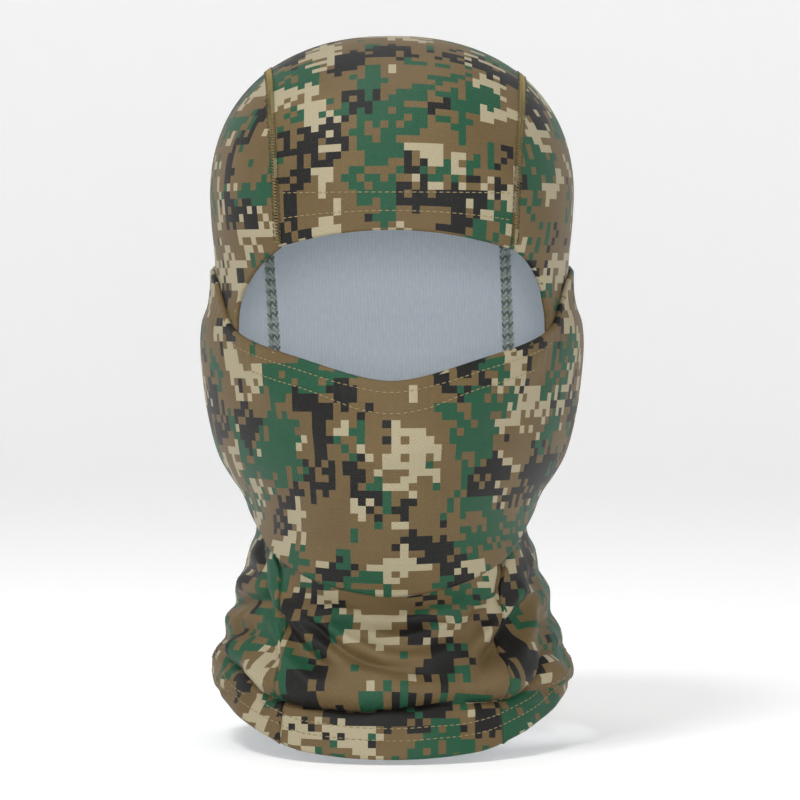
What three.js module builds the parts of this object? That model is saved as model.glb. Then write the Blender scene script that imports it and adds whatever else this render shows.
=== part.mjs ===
// A knitted camouflage balaclava, filled out as if it were worn: a hood of three panels, a neck tube,
// and a face cover that pulls down from the nose to the chin.
// Millimetres. The origin is the middle of the wearer's head, between the ears. +Z is up, the face
// looks toward -Y, and +X is the viewer's right when the viewer faces it.
import * as THREE from "three";

// ---- Driving dimensions ----

const CLOTH = 1.0; // thickness of one ply of knit
const PLY_GAP = 0.9; // air between the plies of the cover's hem
const HEM_GAP = 1.2; // the same on the hood, where long flat facets bow inward
const COVER_LIFT = 2.5; // the face cover's inner face, above the hood's inner face
const BAND_LIFT = 4; // the same for the part that pulls down, which slides over the rest
const THREAD_GAP = 0.7; // between a row of stitches and the cloth it lies on
const INNER_THREAD_GAP = 1.1; // the same inside the hood, where flat facets bow inward
const THREAD = 0.4; // height of a row of stitches
const SEAM_BAND = 4.6; // width of a flat seam's ladder of thread
const INNER_SEAM_BAND = 3.2; // width of an inside seam's chain of thread
const STITCH_ROW = 1.0; // width of one coverstitch row
const EAR_ROW = 1.6; // width of the row that holds the cover at the ear
const EDGE_GAP = 0.3; // half the gap between two panels that meet at a seam

const CROWN_BASE = 52; // height where the head stops being upright and starts to round over
const CROWN_RISE = 73; // from there up to the apex, at the cloth's inner face
const CROWN_POWER = 2.25; // squareness of the rounded crown

// The face cover turns about this line, across the head behind the jaw.
const COVER_AXIS = { y: -10, z: -60 };
const COVER_RADIUS = { chin: 93, nose: 98.5 }; // from that line to the cover's inner face
const COVER_RADIUS_HEIGHTS = { chin: -72, nose: -44 };

const SEAM_SHIFT = 2; // the crown strip sits this far toward +X
const EAR_SEAM_ANGLE = 97; // where the face cover is sewn to the side panel, from straight ahead
const BAND_END_ANGLE = 55; // where the part of the cover that pulls down ends
const BROW_HEM_DEPTH = 15.5;
const OPENING_HEM_DEPTH = 8;
const COVER_HEM_DEPTH = 13;
const BOTTOM_HEM_DEPTH = 13;
const ELASTIC = { width: 5, thickness: 0.7, fromEdge: 8.7 };

// ---- Small tools ----

const mix = (a, b, t) => a + (b - a) * t;
const clamp = (t, low, high) => Math.min(high, Math.max(low, t));
const degrees = THREE.MathUtils.degToRad;
const power = (value, exponent) => Math.pow(Math.max(0, value), exponent);

// A smooth curve through points [input, output] that never swings past them.
function smooth(points) {
  const slopes = points.slice(1).map((p, i) => (p[1] - points[i][1]) / (p[0] - points[i][0]));
  const tangents = points.map((_, i) => {
    if (i === 0) return slopes[0];
    if (i === points.length - 1) return slopes[i - 1];
    const [before, after] = [slopes[i - 1], slopes[i]];
    return before * after <= 0 ? 0 : (2 * before * after) / (before + after);
  });
  return (input) => {
    let i = points.findIndex((p) => p[0] >= input);
    i = i < 0 ? points.length - 1 : Math.max(1, i);
    const [x0, y0] = points[i - 1];
    const [x1, y1] = points[i];
    const span = x1 - x0;
    const t = clamp((input - x0) / span, 0, 1);
    const [t2, t3] = [t * t, t * t * t];
    return (
      y0 * (2 * t3 - 3 * t2 + 1) +
      y1 * (3 * t2 - 2 * t3) +
      span * (tangents[i - 1] * (t3 - 2 * t2 + t) + tangents[i] * (t3 - t2))
    );
  };
}

// ---- The form: level sections of the worn hood, at the inner face of its cloth ----

// From the cover's turning line to its cloth, the distance grows a little from chin to nose, so that
// the part that pulls down slides over the outside of the part below.
function coverFront(z) {
  const { chin, nose } = COVER_RADIUS_HEIGHTS;
  const t = clamp((z - chin) / (nose - chin), 0, 1);
  const radius = mix(COVER_RADIUS.chin, COVER_RADIUS.nose, t);
  return Math.sqrt(radius ** 2 - (z - COVER_AXIS.z) ** 2) - COVER_AXIS.y;
}

const halfWidth = smooth([
  [-200, 84], [-165, 82], [-146, 75], [-124, 69], [-108, 63.5], [-98, 61], [-88, 63], [-80, 66.5],
  [-74, 70.8], [-64, 76.5], [-52, 80], [-36, 82.8], [-14, 84.6], [-6, 84], [3, 81], [12, 79.8],
  [25, 80.2], [40, 81.6], [CROWN_BASE, 82.3],
]);
const front = smooth([
  [-200, 95], [-180, 85], [-165, 77], [-150, 71], [-138, 68], [-131, 70], [-126, 75],
  ...[-122, -112, -100, -85, -70, -55, -40, -30].map((z) => [z, coverFront(z)]),
  [-12, 97], [5, 91.5], [20, 90], [36, 91.5], [CROWN_BASE, 92],
]);
const back = smooth([
  [-200, 86], [-165, 78], [-135, 70], [-105, 65], [-75, 69], [-40, 83], [0, 92], [30, 95], [CROWN_BASE, 94.5],
]);
const frontPower = smooth([
  [-190, 2.1], [-140, 2], [-110, 1.95], [-85, 1.85], [-60, 1.78], [-30, 1.82], [0, 1.95], [20, 2.1],
  [36, 2.2], [CROWN_BASE, CROWN_POWER],
]);
const backPower = smooth([
  [-190, 2.1], [-60, 2.2], [30, 2.3], [CROWN_BASE, CROWN_POWER],
]);

function section(z) {
  const level = Math.min(z, CROWN_BASE);
  return {
    width: halfWidth(level),
    front: front(level),
    back: back(level),
    frontPower: frontPower(level),
    backPower: backPower(level),
  };
}

// Below 0 inside the form and above 0 outside it.
function outsideness(x, y, z) {
  const s = section(z);
  const [depth, n] = y < 0 ? [s.front, s.frontPower] : [s.back, s.backPower];
  const level = power(Math.abs(x) / s.width, n) + power(Math.abs(y) / depth, n);
  const rise = power((z - CROWN_BASE) / CROWN_RISE, CROWN_POWER);
  return power(level, CROWN_POWER / n) + rise - 1;
}

function normalAt(p) {
  const h = 0.02;
  return new THREE.Vector3(
    outsideness(p.x + h, p.y, p.z) - outsideness(p.x - h, p.y, p.z),
    outsideness(p.x, p.y + h, p.z) - outsideness(p.x, p.y - h, p.z),
    outsideness(p.x, p.y, p.z + h) - outsideness(p.x, p.y, p.z - h),
  ).normalize();
}

const onForm = (p) => ({ point: p, normal: normalAt(p) });

// How far ahead (side -1) or behind (side 1) the form reaches at a given x and height.
function depthAt(x, z, side) {
  const s = section(z);
  const [depth, n] = side < 0 ? [s.front, s.frontPower] : [s.back, s.backPower];
  return side * depth * power(1 - power(Math.abs(x) / s.width, n), 1 / n);
}

// ---- Two ways of walking over the form ----

// Round the head: angle in degrees from straight ahead, positive toward +X, and a height that runs on
// over the crown at CROWN_STEP mm per degree.
const CROWN_STEP = 1.2;

function roundHead(angle, height) {
  const bend = degrees(clamp((height - CROWN_BASE) / CROWN_STEP, 0, 90));
  const z = Math.min(height, CROWN_BASE) + CROWN_RISE * power(Math.sin(bend), 2 / CROWN_POWER);
  const shrink = power(Math.cos(bend), 2 / CROWN_POWER);
  const s = section(z);
  const ahead = Math.cos(degrees(angle));
  const aside = Math.sin(degrees(angle));
  const [depth, n] = ahead > 0 ? [-s.front, s.frontPower] : [s.back, s.backPower];
  return onForm(
    new THREE.Vector3(
      s.width * shrink * Math.sign(aside) * power(Math.abs(aside), 2 / n),
      depth * shrink * power(Math.abs(ahead), 2 / n),
      z,
    ),
  );
}

// The same walk's angle and height for a point of the form.
function placeRoundHead({ x, y, z }) {
  const s = section(z);
  const [depth, n] = y < 0 ? [-s.front, s.frontPower] : [s.back, s.backPower];
  const aside = power(Math.abs(x) / s.width, n / 2);
  const ahead = power(y / depth, n / 2) * (y < 0 ? 1 : -1);
  const angle = THREE.MathUtils.radToDeg(Math.atan2(aside, ahead)) * (x < 0 ? -1 : 1);
  const rise = clamp((z - CROWN_BASE) / CROWN_RISE, 0, 1);
  const bend = THREE.MathUtils.radToDeg(Math.asin(power(rise, CROWN_POWER / 2)));
  return [angle, Math.min(z, CROWN_BASE) + bend * CROWN_STEP];
}

// Over the crown: x, and a station that grows by about 1 for every 100 mm from the brow edge, over
// the crown and down to the hem behind.
const STATION = { brow: 0, forehead: 0.15, occiput: 2.35, hem: 4.6 };

function overCrown(x, station) {
  if (station < STATION.forehead) {
    const z = mix(browEdge(x), CROWN_BASE, station / STATION.forehead);
    return onForm(new THREE.Vector3(x, depthAt(x, z, -1), z));
  }
  if (station > STATION.occiput) {
    const fall = (station - STATION.occiput) / (STATION.hem - STATION.occiput);
    const z = mix(CROWN_BASE, hemBehind(x), fall);
    return onForm(new THREE.Vector3(x, depthAt(x, z, 1), z));
  }
  const s = section(CROWN_BASE);
  const bend = Math.PI * ((station - STATION.forehead) / (STATION.occiput - STATION.forehead));
  const shrink = power(1 - power(Math.abs(x) / s.width, CROWN_POWER), 1 / CROWN_POWER);
  const reach = Math.cos(bend) > 0 ? -s.front : s.back;
  return onForm(
    new THREE.Vector3(
      x,
      reach * shrink * power(Math.abs(Math.cos(bend)), 2 / CROWN_POWER),
      CROWN_BASE + CROWN_RISE * shrink * power(Math.sin(bend), 2 / CROWN_POWER),
    ),
  );
}

// ---- Edges and seams ----

const BROW_HEIGHT = 36.8;
const BROW_ARCH = 0.003; // per mm: the brow edge falls with the square of x
const browEdge = (x) => BROW_HEIGHT - BROW_ARCH * x * x;

// The same height on the left and the right, and level straight ahead.
const evenInAngle = ([middle, next, ...rest]) => {
  const curve = smooth([[-next[0], next[1]], middle, next, ...rest]);
  return (angle) => curve(Math.abs(angle));
};
const hemEdge = evenInAngle([
  [0, -193.5], [25, -191.5], [41, -186], [67, -174], [90, -164], [125, -166], [180, -174],
]);
const coverEdge = evenInAngle([[0, -30], [32, -18.7], [56, -7], [66, 3], [78, 16], [EAR_SEAM_ANGLE, 21]]);
const chinSeam = evenInAngle([[0, -121.6], [20, -118.5], [55, -106], [85, -88], [EAR_SEAM_ANGLE, -84]]);
const bandFoot = evenInAngle([[0, -66], [20, -59], [34, -45], [45, -31], [BAND_END_ANGLE, -13.5]]);

const HEM_HEIGHT_BEHIND = -172;

function hemBehind(x) {
  const [angle] = placeRoundHead({ x, y: depthAt(x, HEM_HEIGHT_BEHIND, 1), z: HEM_HEIGHT_BEHIND });
  return hemEdge(angle);
}

// Half the width of the crown strip at each station.
const stripHalf = smooth([[0, 51], [0.15, 52], [0.7, 55], [1.25, 57], [2.35, 54], [3.5, 47], [4.6, 44]]);
// Distance from the middle to the side panel's front edge, by height: the face opening, then the neck seam.
const sideFront = smooth([
  [-195, 50], [-165, 48], [-137, 47], [-118, 50], [-105, 53.5], [-88, 60], [-65, 65], [-40, 67],
  [-15, 69.2], [-2, 69.2], [8, 67.3], [15, 64.3], [20, 61], [25, 56.5], [28.5, 51],
]);
const HEM_FRONT_HEIGHT = -189; // where the neck seam meets the hem
const NECK_SEAM_TOP = -90; // the side panels' front edges are free above this, and sewn below it
const SHIFT_STARTS = 5; // height where the side panels' front edges begin to follow the shifted strip
const SHIFT_ENDS = 25;
const BROW_CORNER = {
  left: browEdge(SEAM_SHIFT - stripHalf(STATION.brow)),
  right: browEdge(SEAM_SHIFT + stripHalf(STATION.brow)),
};

const crownSeam = (side) => (station) => overCrown(SEAM_SHIFT + side * stripHalf(station), station);

function frontEdge(side, height) {
  const shift = SEAM_SHIFT * clamp((height - SHIFT_STARTS) / (SHIFT_ENDS - SHIFT_STARTS), 0, 1);
  const x = side * sideFront(height) + shift;
  return placeRoundHead({ x, y: depthAt(x, height, -1), z: height });
}

// ---- Solids ----

// A closed sheet between two lifts above the form. place(u, v) gives a point and its normal.
function sheet(place, columns, rows, low, high, closed = false) {
  const grid = [];
  for (let i = 0; i <= columns; i++) {
    for (let j = 0; j <= rows; j++) {
      grid.push(place(i / columns, j / rows));
    }
  }
  const count = grid.length;
  const lifted = [low, high].flatMap((lift) =>
    grid.flatMap(({ point, normal }) => point.clone().addScaledVector(normal, lift).toArray()),
  );
  const ringColumns = closed ? columns : columns + 1;
  const id = (i, j, top) => (i % ringColumns) * (rows + 1) + j + (top ? count : 0);
  const faces = [];
  const quad = (a, b, c, d) => faces.push(a, b, c, a, c, d);
  for (let i = 0; i < columns; i++) {
    for (let j = 0; j < rows; j++) {
      quad(id(i, j, 1), id(i + 1, j, 1), id(i + 1, j + 1, 1), id(i, j + 1, 1));
      quad(id(i, j, 0), id(i, j + 1, 0), id(i + 1, j + 1, 0), id(i + 1, j, 0));
    }
    quad(id(i, 0, 0), id(i + 1, 0, 0), id(i + 1, 0, 1), id(i, 0, 1));
    quad(id(i, rows, 1), id(i + 1, rows, 1), id(i + 1, rows, 0), id(i, rows, 0));
  }
  if (!closed) {
    for (let j = 0; j < rows; j++) {
      quad(id(0, j, 0), id(0, j, 1), id(0, j + 1, 1), id(0, j + 1, 0));
      quad(id(columns, j, 1), id(columns, j, 0), id(columns, j + 1, 0), id(columns, j + 1, 1));
    }
  }
  return closedGeometry(lifted, faces);
}

// Drops unused points, and turns the faces round if they look inward.
function closedGeometry(positions, faces) {
  const used = [...new Set(faces)].sort((a, b) => a - b);
  const place = new Map(used.map((old, i) => [old, i]));
  const points = used.map((i) => new THREE.Vector3().fromArray(positions, i * 3));
  let volume = 0;
  for (let i = 0; i < faces.length; i += 3) {
    const [a, b, c] = faces.slice(i, i + 3).map((f) => points[place.get(f)]);
    volume += a.dot(b.clone().cross(c));
  }
  const index = faces.map((f) => place.get(f));
  if (volume < 0) index.reverse();
  const geometry = new THREE.BufferGeometry();
  geometry.setAttribute("position", new THREE.Float32BufferAttribute(points.flatMap((p) => p.toArray()), 3));
  geometry.setIndex(index);
  geometry.computeVertexNormals();
  return geometry;
}

// A flat band of thread along a line on the form. line(s) gives a point and its normal.
function band(line, steps, width, low, high, closed = false) {
  const tiny = 1e-3;
  const place = (u, v) => {
    const { point, normal } = line(u);
    const ahead = line(Math.min(1, u + tiny)).point;
    const behind = line(Math.max(0, u - tiny)).point;
    const across = ahead.clone().sub(behind).cross(normal).normalize();
    return { point: point.clone().addScaledVector(across, (v - 0.5) * width), normal };
  };
  return sheet(place, steps, 1, low, high, closed);
}

// A patch of the form between four edges given as [angle, height], each run from 0 to 1.
function patch(bottom, top, start, end) {
  const corner = [bottom(0), bottom(1), top(0), top(1)];
  return (u, v) => {
    const [angle, height] = [0, 1].map((k) => {
      const across = mix(bottom(u)[k], top(u)[k], v);
      const along = mix(start(v)[k], end(v)[k], u);
      const flat = mix(mix(corner[0][k], corner[1][k], u), mix(corner[2][k], corner[3][k], u), v);
      return across + along - flat;
    });
    return roundHead(angle, height);
  };
}

// The part of the form between two heights that depend on the angle.
const between = (foot, top, from, to) => (u, v) => {
  const angle = mix(from, to, u);
  return roundHead(angle, mix(foot(angle), top(angle), v));
};

// ---- Materials ----

const cloth = (color) => new THREE.MeshStandardMaterial({ color, roughness: 0.85, metalness: 0 });
const material = {
  camo: cloth("#7a6a50"),
  lining: cloth("#a9afb4"),
  crownThread: cloth("#9a8a5c"),
  thread: cloth("#75694f"),
  innerThread: cloth("#8b9088"),
  elastic: cloth("#3c3a36"),
};

const hood = new THREE.Group();
const faceCover = new THREE.Group();
hood.add(faceCover);

function add(group, name, geometry, finish) {
  const mesh = new THREE.Mesh(geometry, finish);
  mesh.name = name;
  group.add(mesh);
}

// ---- Hood panels ----

const CROWN_COLUMNS = 8;
const CROWN_ROWS = 36;
const crownPlace = (u, v) => {
  const station = mix(STATION.brow, STATION.hem, v);
  const half = stripHalf(station) - EDGE_GAP;
  return overCrown(SEAM_SHIFT + mix(-half, half, u), station);
};
add(hood, "crown_panel", sheet(crownPlace, CROWN_COLUMNS, CROWN_ROWS, 0, CLOTH), material.camo);

const SIDE_COLUMNS = 18;
const SIDE_ROWS = 21;
const SIDE_CROWDING = 1.25; // crowds the columns toward the face, where the form bends most

function sidePanel(side) {
  const name = side < 0 ? "left" : "right";
  const browCorner = BROW_CORNER[name];
  const seamAt = (station) => {
    const x = SEAM_SHIFT + side * (stripHalf(station) + EDGE_GAP);
    return placeRoundHead(overCrown(x, station).point);
  };
  const startEdge = (v) => {
    if (v === 1) return seamAt(STATION.brow);
    const [angle, height] = frontEdge(side, mix(HEM_FRONT_HEIGHT, browCorner, v));
    return [angle + side * (height < NECK_SEAM_TOP ? EDGE_GAP : 0), height];
  };
  const hemStart = startEdge(0)[0];
  const hemEnd = seamAt(STATION.hem)[0];
  const bottom = (u) => {
    const angle = mix(hemStart, hemEnd, u);
    return [angle, u === 0 ? HEM_FRONT_HEIGHT : hemEdge(angle)];
  };
  const top = (u) => seamAt(mix(STATION.brow, STATION.occiput, u));
  const endEdge = (v) => seamAt(mix(STATION.hem, STATION.occiput, v));
  const place = patch(bottom, top, startEdge, endEdge);
  const finerInFront = (u, v) => place(u ** SIDE_CROWDING, v);
  return sheet(finerInFront, SIDE_COLUMNS, SIDE_ROWS, 0, CLOTH);
}
add(hood, "left_side_panel", sidePanel(-1), material.camo);
add(hood, "right_side_panel", sidePanel(1), material.camo);

// The neck seam by height: its angle round the head on either side of the front panel.
const NECK_EDGE_GAP = 0.9; // degrees
const NECK_TOP_LAP = 5; // the front panel runs up behind the chin seam by this much
const NECK_CORNER_HEIGHT = -108; // top of its side edges
const NECK_HIGHEST = -100;
const neckSeam = (height) => frontEdge(1, height)[0];

const neckPlace = (u, v) => {
  const edge = neckSeam(mix(HEM_FRONT_HEIGHT, NECK_CORNER_HEIGHT, v)) - NECK_EDGE_GAP;
  const angle = mix(-edge, edge, u);
  const top = Math.min(chinSeam(angle) + NECK_TOP_LAP, NECK_HIGHEST);
  return roundHead(angle, mix(hemEdge(angle), top, v));
};
add(hood, "neck_front_panel", sheet(neckPlace, 14, 14, 0, CLOTH), material.camo);

// ---- Face cover ----

const COVER_LIFTS = [COVER_LIFT, COVER_LIFT + CLOTH];
const BAND_LIFTS = [BAND_LIFT, BAND_LIFT + CLOTH];
const BAND_GAP = 0.5; // between the part that pulls down and the part that stays

const bandPlace = between((a) => bandFoot(a) + BAND_GAP, coverEdge, -BAND_END_ANGLE, BAND_END_ANGLE);
add(faceCover, "face_cover_upper", sheet(bandPlace, 24, 5, ...BAND_LIFTS), material.camo);

const STAY_CORNER = 3; // degrees in which the part that stays rises past the end of the band

const stayEdge = (angle) => {
  const away = Math.abs(angle) - BAND_END_ANGLE;
  if (away <= 0) return bandFoot(angle);
  return mix(bandFoot(BAND_END_ANGLE), coverEdge(angle), clamp(away / STAY_CORNER, 0, 1));
};
const stayPlace = between(chinSeam, stayEdge, -EAR_SEAM_ANGLE, EAR_SEAM_ANGLE);
add(hood, "face_cover_lower", sheet(stayPlace, 38, 7, ...COVER_LIFTS), material.camo);

// ---- Turned hems ----

const innerPly = (outerPly, gap) => [outerPly - gap - CLOTH, outerPly - gap];

const BROW_HEM_SIDE_GAP = 1.5;

const browHemPlace = (u, v) => {
  const station = (v * BROW_HEM_DEPTH * STATION.forehead) / (CROWN_BASE - BROW_HEIGHT);
  const half = stripHalf(station) - BROW_HEM_SIDE_GAP;
  return overCrown(SEAM_SHIFT + mix(-half, half, u), station);
};
add(hood, "brow_hem", sheet(browHemPlace, 10, 2, ...innerPly(0, HEM_GAP)), material.lining);

const OPENING_HEM_FROM = -80; // heights between which the side panel's edge is turned under
const OPENING_HEM_TO = 24;
const LEAN_PER_MM = 2.2; // near the brow the edge runs across, not down: degrees for each mm up
const MOST_LEAN = 45;
const MM_PER_DEGREE = 1.15; // round the head, at the face opening

for (const [side, name] of [[-1, "left"], [1, "right"]]) {
  const openingPlace = (u, v) => {
    const [angle, height] = frontEdge(side, mix(OPENING_HEM_FROM, OPENING_HEM_TO, u));
    const lean = degrees(clamp(height * LEAN_PER_MM, 0, MOST_LEAN));
    const turn = (OPENING_HEM_DEPTH * Math.cos(lean)) / MM_PER_DEGREE;
    return roundHead(angle + side * v * turn, height + v * OPENING_HEM_DEPTH * Math.sin(lean));
  };
  add(hood, `${name}_opening_hem`, sheet(openingPlace, 20, 1, ...innerPly(0, HEM_GAP)), material.lining);
}

const COVER_HEM_END = 40; // degrees: the hem's turned ply and elastic stop short of the hood's opening
const ELASTIC_END = COVER_HEM_END - 3;
const elasticTop = BAND_LIFT - PLY_GAP;
const elasticLifts = [elasticTop - ELASTIC.thickness, elasticTop];
const coverInset = (inset) => (angle) => coverEdge(angle) - inset;
const ELASTIC_INSETS = [ELASTIC.fromEdge + ELASTIC.width / 2, ELASTIC.fromEdge - ELASTIC.width / 2];
const elasticPlace = between(...ELASTIC_INSETS.map(coverInset), -ELASTIC_END, ELASTIC_END);
add(faceCover, "face_cover_elastic", sheet(elasticPlace, 24, 1, ...elasticLifts), material.elastic);
const hemPlace = between(coverInset(COVER_HEM_DEPTH), coverInset(0), -COVER_HEM_END, COVER_HEM_END);
const coverHemLifts = innerPly(elasticLifts[0], PLY_GAP / 2);
add(faceCover, "face_cover_hem", sheet(hemPlace, 24, 2, ...coverHemLifts), material.lining);

const BOTTOM_HEM_SETBACK = 1.5; // the turned ply stops just above the hem edge
const bottomPlace = between(
  (angle) => hemEdge(angle) + BOTTOM_HEM_SETBACK,
  (angle) => hemEdge(angle) + BOTTOM_HEM_DEPTH,
  180,
  -180,
);
add(hood, "bottom_hem", sheet(bottomPlace, 44, 1, ...innerPly(0, HEM_GAP), true), material.lining);

// ---- Rows of thread ----

const onCloth = (lift, gap = THREAD_GAP) => [lift + gap, lift + gap + THREAD];
const underCloth = (lift) => [lift - INNER_THREAD_GAP - THREAD, lift - INNER_THREAD_GAP];

for (const [side, name] of [[-1, "left"], [1, "right"]]) {
  const seam = crownSeam(side);
  // Both run over the crown panel's own rows, so their facets lie along its facets.
  const alongRows = (from, to) => (s) => seam((STATION.hem * mix(from, to, s)) / CROWN_ROWS);
  const outer = alongRows(1, CROWN_ROWS - 2);
  const inner = alongRows(2, CROWN_ROWS - 2);
  const outerRows = CROWN_ROWS - 3;
  const innerRows = CROWN_ROWS - 4;
  add(hood, `${name}_crown_seam`, band(outer, outerRows, SEAM_BAND, ...onCloth(CLOTH)), material.crownThread);
  add(hood, `${name}_crown_chain`, band(inner, innerRows, SEAM_BAND, ...underCloth(0)), material.innerThread);
}

const BROW_ROWS = { lower: 8, upper: 15.6 }; // above the brow edge
for (const [name, rise] of Object.entries(BROW_ROWS)) {
  const station = (rise * STATION.forehead) / (CROWN_BASE - BROW_HEIGHT);
  const reach = stripHalf(station) - SEAM_BAND / 2 - 1;
  const row = (s) => overCrown(SEAM_SHIFT + mix(-reach, reach, s), station);
  add(hood, `brow_stitch_${name}`, band(row, 24, STITCH_ROW, ...onCloth(CLOTH)), material.thread);
}

const COVER_ROWS = { upper: { inset: 5, end: 53.5 }, lower: { inset: 12.5, end: 46 } }; // mm below the edge
for (const [name, { inset, end }] of Object.entries(COVER_ROWS)) {
  const row = (s) => {
    const angle = mix(-end, end, s);
    return roundHead(angle, coverEdge(angle) - inset);
  };
  const lifts = onCloth(BAND_LIFTS[1]);
  add(faceCover, `cover_stitch_${name}`, band(row, 40, STITCH_ROW, ...lifts), material.thread);
}

const HEM_ROWS = { lower: 7, upper: 12 }; // above the hem edge
for (const [name, rise] of Object.entries(HEM_ROWS)) {
  const row = (s) => {
    const angle = mix(-180, 180, s);
    return roundHead(angle, hemEdge(angle) + rise);
  };
  add(hood, `hem_stitch_${name}`, band(row, 72, STITCH_ROW, ...onCloth(CLOTH), true), material.thread);
}

const CHIN_ROW = { end: 52, rise: 1.5 }; // degrees to either side, and mm above the seam
const chinRow = (s) => {
  const angle = mix(-CHIN_ROW.end, CHIN_ROW.end, s);
  return roundHead(angle, chinSeam(angle) + CHIN_ROW.rise);
};
add(hood, "chin_seam_thread", band(chinRow, 24, INNER_SEAM_BAND, ...underCloth(0)), material.innerThread);

const NECK_ROW = { low: -172, high: -112 };
const EAR_ROW_PLACE = { angle: EAR_SEAM_ANGLE - 2, low: -80, high: 17 };
for (const [side, name] of [[-1, "left"], [1, "right"]]) {
  const neckRow = (s) => roundHead(...frontEdge(side, mix(NECK_ROW.low, NECK_ROW.high, s)));
  const earRow = (s) => roundHead(side * EAR_ROW_PLACE.angle, mix(EAR_ROW_PLACE.low, EAR_ROW_PLACE.high, s));
  const neckThread = band(neckRow, 10, INNER_SEAM_BAND, ...underCloth(0));
  add(hood, `${name}_neck_seam_thread`, neckThread, material.innerThread);
  const earThread = band(earRow, 14, EAR_ROW, ...onCloth(COVER_LIFTS[1]));
  add(hood, `${name}_ear_seam_thread`, earThread, material.thread);
}

export default hood;
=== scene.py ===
"""The looks of a knitted camouflage balaclava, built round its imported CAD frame.

Shapes are worked out in millimetres and turned into metres when a mesh is made.
+Z is up, the face looks toward -Y, and +X is the viewer's right when the viewer faces it."""

import math

import bpy
import numpy as np
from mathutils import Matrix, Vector


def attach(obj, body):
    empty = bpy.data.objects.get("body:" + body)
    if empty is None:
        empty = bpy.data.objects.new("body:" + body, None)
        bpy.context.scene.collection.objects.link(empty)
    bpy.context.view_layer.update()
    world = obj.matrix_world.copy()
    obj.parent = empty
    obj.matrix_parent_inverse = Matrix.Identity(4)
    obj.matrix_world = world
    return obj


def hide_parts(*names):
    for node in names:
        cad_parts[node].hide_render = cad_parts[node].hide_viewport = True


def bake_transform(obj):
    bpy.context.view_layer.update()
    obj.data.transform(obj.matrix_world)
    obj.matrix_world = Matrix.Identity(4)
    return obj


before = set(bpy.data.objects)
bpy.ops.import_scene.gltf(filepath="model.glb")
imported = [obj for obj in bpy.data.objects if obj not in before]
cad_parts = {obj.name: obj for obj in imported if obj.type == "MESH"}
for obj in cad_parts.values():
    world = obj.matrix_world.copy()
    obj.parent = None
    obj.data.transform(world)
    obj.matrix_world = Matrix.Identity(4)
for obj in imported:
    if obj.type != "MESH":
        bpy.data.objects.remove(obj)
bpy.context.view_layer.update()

MM = 0.001
CLOTH = 1.0  # thickness of one ply of knit
CELL = 3.4  # side of one square of the camouflage

# ---- The form of the worn hood, in millimetres, as the CAD model has it ----

CROWN_BASE = 52.0  # height where the head starts to round over
CROWN_RISE = 73.0
CROWN_POWER = 2.25
CROWN_STEP = 1.2  # millimetres of height for each degree over the crown
COVER_AXIS = (-10.0, -60.0)  # y and z of the line that the face cover turns about
SEAM_SHIFT = 2.0  # at the brow, the middle of the crown strip lies this far to the viewer's right
EAR_SEAM_ANGLE = 97.0
# stations along the crown strip, from the brow edge over the top to the hem behind
STATION = {"brow": 0.0, "forehead": 0.15, "occiput": 2.35, "hem": 4.6}


def smooth(points):
    """A curve through (input, output) points that never swings past them."""
    xs, ys = np.array(points, float).T
    slopes = np.diff(ys) / np.diff(xs)
    tangents = np.zeros(len(xs))
    tangents[0], tangents[-1] = slopes[0], slopes[-1]
    for i in range(1, len(xs) - 1):
        before, after = slopes[i - 1], slopes[i]
        if before * after > 0:
            tangents[i] = 2 * before * after / (before + after)

    def curve(value):
        value = np.clip(value, xs[0], xs[-1])
        i = np.clip(np.searchsorted(xs, value) - 1, 0, len(xs) - 2)
        span = xs[i + 1] - xs[i]
        t = (value - xs[i]) / span
        bend = tangents[i] * (t**3 - 2 * t**2 + t) + tangents[i + 1] * (t**3 - t**2)
        return ys[i] * (2 * t**3 - 3 * t**2 + 1) + ys[i + 1] * (3 * t**2 - 2 * t**3) + span * bend

    return curve


def power(value, exponent):
    return np.power(np.maximum(value, 0.0), exponent)


def mix(a, b, t):
    return a + (b - a) * t


def cover_front(z):
    t = np.clip((z + 72) / 28, 0, 1)
    radius = mix(93.0, 98.5, t)
    return np.sqrt(radius**2 - (z - COVER_AXIS[1]) ** 2) - COVER_AXIS[0]


half_width = smooth([
    (-200, 84), (-165, 82), (-146, 75), (-124, 69), (-108, 63.5), (-98, 61), (-88, 63), (-80, 66.5),
    (-74, 70.8), (-64, 76.5), (-52, 80), (-36, 82.8), (-14, 84.6), (-6, 84), (3, 81), (12, 79.8),
    (25, 80.2), (40, 81.6), (CROWN_BASE, 82.3),
])
front_depth = smooth([
    (-200, 95), (-180, 85), (-165, 77), (-150, 71), (-138, 68), (-131, 70), (-126, 75),
    *[(z, cover_front(z)) for z in (-122, -112, -100, -85, -70, -55, -40, -30)],
    (-12, 97), (5, 91.5), (20, 90), (36, 91.5), (CROWN_BASE, 92),
])
back_depth = smooth([
    (-200, 86), (-165, 78), (-135, 70), (-105, 65), (-75, 69), (-40, 83), (0, 92), (30, 95),
    (CROWN_BASE, 94.5),
])
front_power = smooth([
    (-190, 2.1), (-140, 2), (-110, 1.95), (-85, 1.85), (-60, 1.78), (-30, 1.82), (0, 1.95), (20, 2.1),
    (36, 2.2), (CROWN_BASE, CROWN_POWER),
])
back_power = smooth([(-190, 2.1), (-60, 2.2), (30, 2.3), (CROWN_BASE, CROWN_POWER)])


def section(z, behind):
    """Half width, depth and power of the level section at z, ahead or behind."""
    level = np.minimum(z, CROWN_BASE)
    depth = np.where(behind, back_depth(level), front_depth(level))
    return half_width(level), depth, np.where(behind, back_power(level), front_power(level))


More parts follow.
